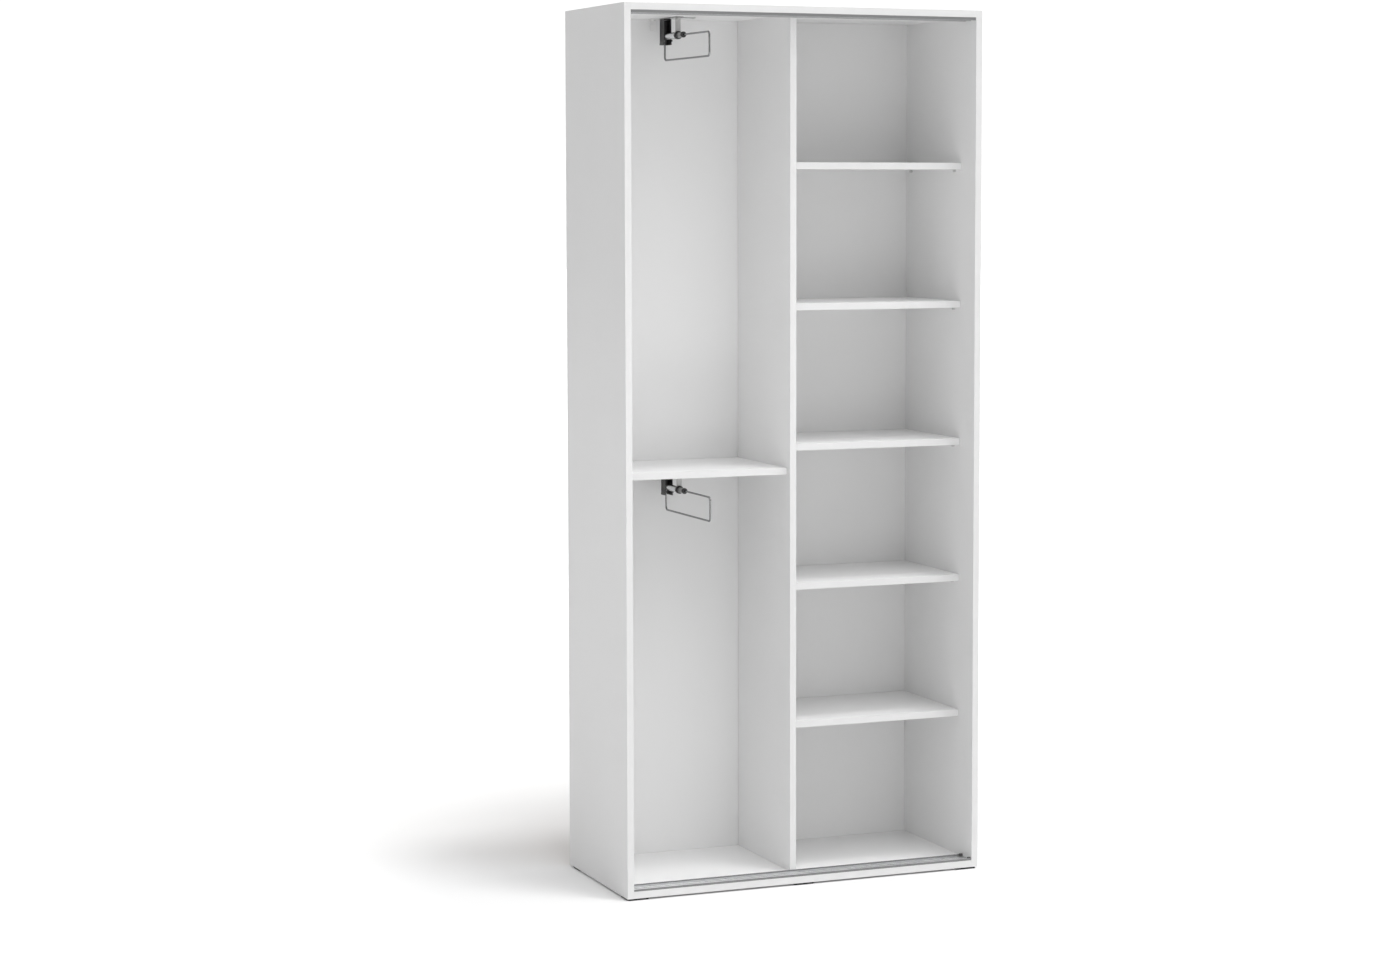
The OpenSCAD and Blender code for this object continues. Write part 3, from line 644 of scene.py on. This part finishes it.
def pan_screw(head_r, head_h, shank_r, length):
    """Pan-head screw: the head's underside at z = 0, its face up, the point down."""
    steps = 5
    dome = [(head_r * sin(pi / 2 * step / steps), head_h * (0.45 + 0.55 * cos(pi / 2 * step / steps)))
            for step in range(steps + 1)]
    shape = turned(dome + [(head_r, 0)] + threaded(shank_r, 0, -length), 24)
    return cross_recess(shape, head_r * 1.2, head_r * 0.26, head_h * 0.6, head_h)


def flat_screw(head_r, head_h, shank_r, length):
    """Countersunk screw: the head's face at z = 0, the point down."""
    profile = [(0, 0), (head_r * 0.97, 0), (head_r, -0.12), (shank_r, -head_h)]
    shape = turned(profile + threaded(shank_r, -head_h, -length), 24)
    return cross_recess(shape, head_r * 1.2, head_r * 0.24, head_h * 0.7)


def head_places(node, facing):
    """Where each solid of a fastener node has its head, given which way each faces."""
    places = []
    for low, high in solids(node):
        centre = middle(low, high)
        direction = facing(centre)
        tip = high if direction == UP else low
        places.append((direction, (centre.x, centre.y, tip.z)))
    return places


def make_rail_screws():
    """Pan-head screws that hold the rails' mounting plates, with their heads below."""
    head_r, head_h, shank_r = 3.5, 2.2, 1.75
    low, high = solids("rail_screws")[0]
    screw = shifted(pan_screw(head_r, head_h, shank_r, high.z - low.z - head_h), (0, 0, -head_h))
    add_piece("rail_pan_screws", copies(screw, head_places("rail_screws", lambda centre: DOWN)),
              "screw_steel", ["rail_screws"])


def make_track_screws():
    """Countersunk screws in the tracks, which face up in the bottom one and down in the top one."""
    half_way = middle(*box_mm("divider")).z
    low, high = solids("track_screws")[0]
    screw = flat_screw(*FLAT_HEAD, high.z - low.z)
    places = head_places("track_screws", lambda centre: DOWN if centre.z > half_way else UP)
    add_piece("track_flat_screws", copies(screw, places), "screw_steel", ["track_screws"])


def make_foot_screws():
    """Countersunk screws up through the feet."""
    low, high = solids("foot_screws")[0]
    screw = flat_screw(*FLAT_HEAD, high.z - low.z)
    add_piece("foot_flat_screws", copies(screw, head_places("foot_screws", lambda centre: DOWN)),
              "screw_steel", ["foot_screws"])


def make_confirmats():
    """Divider screws: a flat head, a smooth shank through the panel, a coarse thread and a hexagon socket."""
    half_way = middle(*box_mm("divider")).z
    low, high = solids("confirmat_screws")[0]
    head_r, head_h, shank_r, shank_end = 4.8, 2.5, 3.4, -17
    thread_r, socket_r, socket_depth = 3.2, 2.3, 2.5
    profile = [(0, 0), (head_r - 0.3, 0), (head_r, -0.3), (head_r, -head_h), (shank_r, -head_h),
               (shank_r, shank_end)]
    shape = turned(profile + threaded(thread_r, shank_end, low.z - high.z, pitch=2.2, core=0.7), 30)
    socket = bmesh.new()
    bmesh.ops.create_cone(socket, cap_ends=True, segments=6, radius1=socket_r, radius2=socket_r,
                          depth=2 * socket_depth)
    shape = carved(shape, socket)
    places = head_places("confirmat_screws", lambda centre: UP if centre.z > half_way else DOWN)
    add_piece("divider_screws", copies(shape, places), "screw_steel", ["confirmat_screws"])


def make_cams():
    """Cam housings: a cast drum with a rim, a mouth for the bolt and a cross in its face."""
    low, high = solids("cam_housings")[0]
    radius, depth = (high.x - low.x) / 2, high.z - low.z
    groove_r, waist_r = radius - 1, radius - 0.5
    profile = [(0, 0), (groove_r - 1.2, 0), (groove_r - 0.8, -0.5), (groove_r, -0.5), (groove_r + 0.3, 0),
               (radius - 0.3, 0), (radius, -0.3), (radius, -1.6), (waist_r, -1.9), (waist_r, 1 - depth),
               (radius - 1.2, -depth), (0, -depth)]
    shape = cross_recess(turned(profile, 40), 7, 1.6, 3)
    mouth_r, mouth_depth = 3.1, 9
    mouth = turned([(0, 0), (mouth_r, 0), (mouth_r, radius + 2), (0, radius + 2)], 20)
    shape = carved(shape, turned_to(mouth, LEFT, (0, 0, -mouth_depth)))
    top = box_mm("top_panel")[1].z
    made = []
    for low, high in solids("cam_housings"):
        direction = UP if abs(high.z - top) < 1 else DOWN
        centre = middle(low, high)
        from_end = RIGHT if nearest_end(centre.x) < centre.x else LEFT
        turn = Matrix((from_end, direction.cross(from_end), direction)).transposed().to_4x4()
        face = (centre.x, centre.y, high.z if direction == UP else low.z)
        part = shape.copy()
        bmesh.ops.transform(part, matrix=Matrix.Translation(face) @ turn, verts=part.verts)
        made.append(part)
    shape.free()
    add_piece("cam_drums", joined(made), "zinc", ["cam_housings"])


def nearest_end(x):
    """The upright board's face that is nearest to a place along X."""
    faces = [box_mm("left_side")[1].x, box_mm("divider")[0].x, box_mm("right_side")[0].x]
    return min(faces, key=lambda face: abs(face - x))


def make_cam_bolts():
    """Cam bolts: a coarse thread in the upright board, a collar, a stem, and a neck behind the head."""
    made = []
    thread_r, collar_r, stem_r, neck_r, head_r = 3, 3, 2.6, 1.9, 3
    for low, high in solids("cam_bolts"):
        centre = middle(low, high)
        face = nearest_end(centre.x)
        into_panel = RIGHT if centre.x > face else LEFT
        reach = (high.x - face) if into_panel == RIGHT else (face - low.x)
        into_side = (high.x - low.x) - reach
        profile = [(0, reach), (head_r - 0.6, reach), (head_r, reach - 0.6), (head_r, reach - 4),
                   (neck_r, reach - 4.4), (neck_r, reach - 7.6), (stem_r, reach - 8), (stem_r, 1.5),
                   (collar_r, 1.2), (collar_r, 0)]
        thread = threaded(thread_r, 0, -into_side, pitch=1.8, core=0.75)
        made.append(turned_to(turned(profile + thread, 20), into_panel, (face, centre.y, centre.z)))
    add_piece("cam_bolt_set", joined(made), "screw_steel", ["cam_bolts"])


def make_dowels():
    """Beech dowels with flutes along them and chamfered ends."""
    made = []
    flutes, flute_r, chamfer = 14, 0.93, 0.9
    for low, high in solids("dowels"):
        radius, length = (high.z - low.z) / 2, high.x - low.x
        bm = bmesh.new()
        bmesh.ops.create_cone(bm, cap_ends=True, segments=2 * flutes, radius1=radius, radius2=radius,
                              depth=length - 2 * chamfer)
        for vert in bm.verts:
            turns = vert.co.xy.angle_signed(Vector((1, 0))) / (pi / flutes)
            if round(turns) % 2:
                vert.co.xy *= flute_r
        ends = [face for face in bm.faces if abs(face.normal.z) > 0.9]
        bmesh.ops.inset_individual(bm, faces=ends, thickness=chamfer, depth=chamfer)
        made.append(turned_to(bm, RIGHT, middle(low, high)))
    add_piece("fluted_dowels", joined(made), "beech", ["dowels"], crease=20)


def make_shelf_pins():
    """Shelf pins: a stem in the board, a collar against it and a turned head under the shelf."""
    made = []
    for low, high in solids("shelf_pins"):
        centre = middle(low, high)
        in_divider = abs(low.x - box_mm("divider")[1].x) < abs(high.x - box_mm("right_side")[0].x)
        direction = RIGHT if in_divider else LEFT
        face = box_mm("divider")[1].x if in_divider else box_mm("right_side")[0].x
        collar_r = (high.z - low.z) / 2
        head_r, stem_r = collar_r - 0.3, collar_r - 1
        reach = (high.x - face) if in_divider else (face - low.x)
        stem = (high.x - low.x) - reach
        profile = [(0, reach), (head_r - 0.5, reach), (head_r, reach - 0.3), (head_r, 1.4),
                   (collar_r, 1.1), (collar_r, 0), (stem_r, 0), (stem_r, -stem + 0.8),
                   (stem_r - 0.6, -stem), (0, -stem)]
        made.append(turned_to(turned(profile, 24), direction, (face, centre.y, centre.z)))
    add_piece("turned_shelf_pins", joined(made), "screw_steel", ["shelf_pins"])


# ---- Tracks, stops and feet ----

def make_track(side, facing):
    """One aluminium extrusion: a base with countersunk screw holes and lips with round tips."""
    base_low, base_high = box_mm(f"{side}_track_base")
    root, face = (base_low.z, base_high.z) if facing == UP else (base_high.z, base_low.z)
    outline = [(base_low.y, root)]
    tips = []
    for low, high in sorted(solids(f"{side}_track_lips"), key=lambda box: box[0].y):
        tip = high.z if facing == UP else low.z
        tips.append(tip)
        outline += [(low.y, face), (low.y, tip), (high.y, tip), (high.y, face)]
    outline.append((base_high.y, root))
    outline = [point for index, point in enumerate(outline)
               if index == 0 or (Vector(point) - Vector(outline[index - 1])).length > 1e-3]
    bm = bmesh.new()
    corners = [bm.verts.new((base_low.x, y, z)) for y, z in outline]
    end = bm.faces.new(corners)
    grown = bmesh.ops.extrude_face_region(bm, geom=[end])["geom"]
    bmesh.ops.translate(bm, vec=(base_high.x - base_low.x, 0, 0), verts=only_verts(grown))
    bmesh.ops.recalc_face_normals(bm, faces=bm.faces)
    lip_tips = [edge for edge in edges_along(bm, 0)
                if any(abs(edge.verts[0].co.z - tip) < 1e-3 for tip in tips)]
    soften(bm, lip_tips, 0.55, 3)
    roots = [edge for edge in edges_along(bm, 0) if abs(edge.verts[0].co.z - face) < 1e-3
             and base_low.y + 1 < edge.verts[0].co.y < base_high.y - 1]
    soften(bm, roots, 0.35, 2)
    sink_r, sink_end_r = FLAT_HEAD[0] + 0.2, FLAT_HEAD[2] + 0.3
    holes = []
    for low, high in solids("track_screws"):
        centre = middle(low, high)
        if abs(centre.z - face) < 20:
            sink = turned([(0, 0.5), (sink_r, 0.5), (sink_r, -0.1), (sink_end_r, -2), (0, -2)], 24)
            holes.append(turned_to(sink, facing, (centre.x, centre.y, face)))
    bm = carved(bm, joined(holes))
    add_piece(f"{side}_door_track", bm, "anodised", [f"{side}_track_base", f"{side}_track_lips"], crease=28)


def make_door_stops():
    """Rubber buffers with a soft top edge and a groove across the striking face."""
    made = []
    for low, high in solids("door_stops"):
        buffer = pad(low, high, 2, 0.7, 4)
        centre = middle(low, high)
        groove = block((centre.x - 1, low.y - 1, high.z - 1.2), (centre.x + 1, high.y + 1, high.z + 1))
        soften(groove, edges_along(groove, 1), 0.5, 2)
        made.append(carved(buffer, groove))
    add_piece("rubber_door_stops", joined(made), "stop_rubber", ["door_stops"])


def make_foot(node):
    """A flat moulded pad with a soft rim, a ring groove beneath and a countersunk hole."""
    low, high = box_mm(node)
    centre = middle(low, high)
    shape = pad(low, high, corner=7, rim=0.6)
    bore_r, sink_r, past = 1.75, 3.2, 8
    hole = turned([(0, -1), (sink_r, -1), (sink_r, 1.6), (bore_r, 3.3), (bore_r, past), (0, past)], 24)
    shape = carved(shape, shifted(hole, (centre.x, centre.y, low.z)))
    groove_in, groove_out, groove_depth = 17, 19, 0.8
    ring = turned([(groove_in, -1), (groove_out, -1), (groove_out, groove_depth), (groove_in, groove_depth)],
                  48, ring=True)
    shape = carved(shape, shifted(ring, (centre.x, centre.y, low.z)))
    add_piece(f"{node}_pad", shape, "foot_plastic", [node])


# ---- Pull-out rails ----

# Bore of the bush and the cap, in which the wire slides
BORE_R = 2.6


def rail_origin(rail):
    """The loop's plane, the back's inner face and the mounting face, in millimetres."""
    tube = middle(*box_mm(f"{rail}_rail_tube"))
    return Vector((tube.x, box_mm("back_left")[0].y, box_mm(f"{rail}_rail_plate")[1].z))


def rail_box(rail, piece):
    """Lowest and highest corner of a rail's piece, in the rail's own frame."""
    low, high = box_mm(f"{rail}_rail_{piece}")
    return low - rail_origin(rail), high - rail_origin(rail)


def add_rail_piece(rail, piece, bm, slot, label, look=None):
    """Makes a finished piece from a shape in the rail's own frame."""
    add_piece(f"{rail}_{label}", shifted(bm, rail_origin(rail)), slot, [f"{rail}_rail_{piece}"], look=look)


def rail_screw_places(rail):
    """The rail's screws in its own frame, from the front one to the rear one."""
    origin = rail_origin(rail)
    found = [middle(low, high) - origin for low, high in solids("rail_screws")]
    return sorted((place for place in found if abs(place.z) < 30), key=lambda place: place.y)


def make_rail_plate(rail):
    """Mounting plate with a wing to the right, cut from sheet, with round corners."""
    low, high = rail_box(rail, "plate")
    half = -low.x
    wing = max(rail_screw_places(rail), key=lambda place: place.x).y
    wing_half, corner_r = 7, 2
    outline = [(-half, low.y), (half, low.y), (half, wing - wing_half), (high.x, wing - wing_half),
               (high.x, wing + wing_half), (half, wing + wing_half), (half, high.y), (-half, high.y)]
    bm = bmesh.new()
    flat = bm.faces.new([bm.verts.new((x, y, low.z)) for x, y in outline])
    grown = bmesh.ops.extrude_face_region(bm, geom=[flat])["geom"]
    bmesh.ops.translate(bm, vec=(0, 0, high.z - low.z), verts=only_verts(grown))
    bmesh.ops.recalc_face_normals(bm, faces=bm.faces)
    ends = [edge for edge in edges_along(bm, 2) if edge.verts[0].co.x > high.x - 1e-3]
    soften(bm, ends, wing_half - 0.1, 6)
    others = [edge for edge in edges_along(bm, 2) if edge.verts[0].co.x < half + 1e-3]
    soften(bm, others, corner_r, 3)
    soften(bm, edges_at(bm, 2, low.z), 0.3, 1)
    add_rail_piece(rail, "plate", bm, "plated_steel", "mounting_plate")


def make_rail_housing(rail):
    """Moulded rear housing: a channel open to the front and below, with a foot rim and tongues."""
    low, high = rail_box(rail, "housing")
    rim, rim_h, wall, tongue, overlap = 0.6, 5, 1.5, 8, 0.2
    half = high.x - rim
    front, rear = low.y + tongue, high.y - rim
    shell = block((-half, front, low.z), (half, rear, high.z))
    soften(shell, [edge for edge in edges_along(shell, 2) if edge.verts[0].co.y > rear - 1e-3], 2.2, 4)
    soften(shell, edges_at(shell, 2, high.z), 0.8, 2)
    cavity = block((-half + wall, front - 5, low.z - 5), (half - wall, rear - wall, high.z - 2 * wall))
    soften(cavity, [edge for edge in edges_along(cavity, 2) if edge.verts[0].co.y > rear - wall - 1e-3], 1, 2)
    shell = carved(shell, cavity)
    panel_depth = 1
    for side in (-1, 1):
        outer = side * half
        panel = block((outer - panel_depth, front + 4, low.z + rim_h + 5),
                      (outer + panel_depth, rear - 5, high.z - 7))
        soften(panel, edges_along(panel, 0), 1.5, 3)
        shell = carved(shell, panel)
    band = block((-half - rim, front, low.z), (half + rim, high.y, low.z + rim_h))
    soften(band, [edge for edge in edges_along(band, 2) if edge.verts[0].co.y > rear], 2.6, 4)
    soften(band, edges_at(band, 2, low.z + rim_h) + edges_at(band, 2, low.z), 0.25, 1)
    inside = half - overlap
    band = carved(band, block((-inside, front - 5, low.z - 5), (inside, rear - overlap, low.z + rim_h + 5)))
    tongue_top = rail_box(rail, "tube")[0].z - 1
    parts = [shell, band]
    for side in (-1, 1):
        inner, outer = sorted((side * half, side * (half - wall)))
        finger = block((inner, low.y, tongue_top - 5), (outer, front + 0.5, tongue_top))
        soften(finger, [edge for edge in edges_along(finger, 0) if edge.verts[0].co.y < low.y + 1e-3], 2, 3)
        parts.append(finger)
    tube_low, tube_high = rail_box(rail, "tube")
    axis_z, bore = (tube_low.z + tube_high.z) / 2, (tube_high.x - tube_low.x) / 2 - 1.3
    boss = turned([(0, 0), (bore - 1.8, 0), (bore - 1.5, 0.3), (bore - 1.5, 3.2), (0, 3.2)], 24)
    parts.append(turned_to(boss, (0, 1, 0), (0, tube_high.y - 1.5, axis_z)))
    add_rail_piece(rail, "housing", joined(parts), "black_plastic", "rear_housing")


def make_rail_bracket(rail):
    """Sheet bracket behind the housing: a tab under the mounting face and a leg down the back."""
    low, high = rail_box(rail, "bracket")
    thickness, leg_w = 2, 14
    centre = (low.x + high.x) / 2
    rear = high.y
    outline = [(low.x, low.y), (high.x, low.y), (high.x, rear), (centre + leg_w / 2, rear),
               (centre - leg_w / 2, rear), (low.x, rear)]
    bm = sheet(outline, (3, 4), high.z - low.z, thickness, 2.5)
    bm = fitted(bm, low, high)
    soften(bm, square_edges(bm), 0.25, 1)
    add_rail_piece(rail, "bracket", bm, "plated_steel", "rear_bracket", PALE_PLATING)


def fitted(bm, low, high):
    """Moves and stretches a shape so that it fills a box."""
    start, end = reach_of(bm.verts)
    bmesh.ops.translate(bm, vec=-start, verts=bm.verts)
    stretch = Vector((high[axis] - low[axis]) / (end[axis] - start[axis]) for axis in range(3))
    bmesh.ops.scale(bm, vec=stretch, verts=bm.verts)
    return shifted(bm, low)


def make_rail_collar(rail):
    """Ring clamped on the tube's end, with chamfers, a groove and a lip in front of the tube."""
    low, high = rail_box(rail, "collar")
    tube_r = (rail_box(rail, "tube")[1].x - rail_box(rail, "tube")[0].x) / 2
    outer, length, lip = high.x, high.y - low.y, 1
    bore, mouth, waist = tube_r + 0.1, rail_box(rail, "bush")[1].x - 0.6, outer - 0.4
    profile = [(bore, length), (outer - 0.5, length), (outer, length - 0.5), (outer, length * 0.68),
               (waist, length * 0.64), (waist, length * 0.56), (outer, length * 0.52),
               (outer, 0.5), (outer - 0.5, 0), (mouth, 0), (mouth, lip), (bore, lip)]
    bm = turned(profile, 48, ring=True)
    place = (0, low.y, (low.z + high.z) / 2)
    add_rail_piece(rail, "collar", turned_to(bm, (0, 1, 0), place), "black_plastic", "clamp_ring")


def make_rail_strap(rail):
    """Steel strap from the mounting plate down to the ring, bent from sheet."""
    low, high = rail_box(rail, "strap")
    thickness, seat_depth, clip_w = 2, 1.2, 1.2
    ring_low, ring_high = rail_box(rail, "collar")
    outline = [(low.x, low.y), (high.x, low.y), (high.x, high.y), (low.x, high.y)]
    drop = high.z - ring_high.z + seat_depth
    bm = sheet(outline, (2, 3), drop, thickness, 2.6)
    bm = fitted(bm, Vector((low.x, low.y, high.z - drop)), high)
    soften(bm, square_edges(bm), 0.25, 1)
    axis_z = (ring_low.z + ring_high.z) / 2
    bore = turned([(0, -9), (ring_high.x, -9), (ring_high.x, 9), (0, 9)], 48)
    bm = carved(bm, turned_to(bore, (0, 1, 0), (0, (ring_low.y + ring_high.y) / 2, axis_z)))
    inner, outer = ring_high.x, ring_high.x + clip_w
    clip = turned([(inner, -1), (outer, -1), (outer, 1), (inner, 1)], 48, ring=True)
    clip = turned_to(clip, (0, 1, 0), (0, high.y - 1, axis_z))
    clip = carved(clip, block((-20, -500, axis_z - 30), (20, 500, axis_z)))
    add_rail_piece(rail, "strap", joined([bm, clip]), "plated_steel", "front_strap")


def make_rail_bush(rail):
    """Turned bush: a spigot in the tube, a neck with a shoulder, and the wire's bore."""
    low, high = rail_box(rail, "bush")
    length = high.y - low.y
    spigot_r, neck_r = high.x, rail_box(rail, "tube")[1].x - 2
    shoulder, groove = length - 4, length - 17
    profile = [(BORE_R, length), (spigot_r - 0.4, length), (spigot_r, length - 0.4),
               (spigot_r, shoulder + 0.1), (neck_r, shoulder), (neck_r, groove + 1),
               (neck_r - 0.5, groove + 0.6), (neck_r - 0.5, groove - 0.6), (neck_r, groove - 1),
               (neck_r, 0.5), (neck_r - 0.5, 0), (BORE_R, 0)]
    bm = turned(profile, 40, ring=True)
    add_rail_piece(rail, "bush", turned_to(bm, (0, 1, 0), (0, low.y, (low.z + high.z) / 2)),
                   "plated_steel", "guide_bush")


def make_rail_cap(rail):
    """Black cap on the bush, with a domed front around the wire."""
    low, high = rail_box(rail, "cap")
    radius, length = high.x, high.y - low.y
    dome_r, steps = 1.6, 5
    dome = [(radius - dome_r * (1 - cos(pi / 2 * step / steps)), dome_r * (1 - sin(pi / 2 * step / steps)))
            for step in range(steps + 1)]
    profile = [(BORE_R, length), (radius - 0.3, length), (radius, length - 0.3)] + dome + [
        (BORE_R + 1.4, 0), (BORE_R + 0.6, 0.5), (BORE_R, 0.5)]
    bm = turned(profile, 40, ring=True)
    add_rail_piece(rail, "cap", turned_to(bm, (0, 1, 0), (0, low.y, (low.z + high.z) / 2)),
                   "black_plastic", "end_cap")


def make_rails():
    """The fixed pieces of both rails; the tubes, wire loops and sliders keep their CAD shapes."""
    for rail in RAILS:
        make_rail_plate(rail)
        make_rail_housing(rail)
        make_rail_bracket(rail)
        make_rail_collar(rail)
        make_rail_strap(rail)
        make_rail_bush(rail)
        make_rail_cap(rail)


def make_fasteners():
    make_rail_screws()
    make_track_screws()
    make_foot_screws()
    make_confirmats()
    make_cams()
    make_cam_bolts()
    make_dowels()
    make_shelf_pins()


def make_fittings():
    make_track("bottom", UP)
    make_track("top", DOWN)
    make_door_stops()
    for node in FEET:
        make_foot(node)


# ---- Assembly ----

make_camera()
finish_cad_nodes()
make_fasteners()
make_fittings()
make_rails()
make_studio()
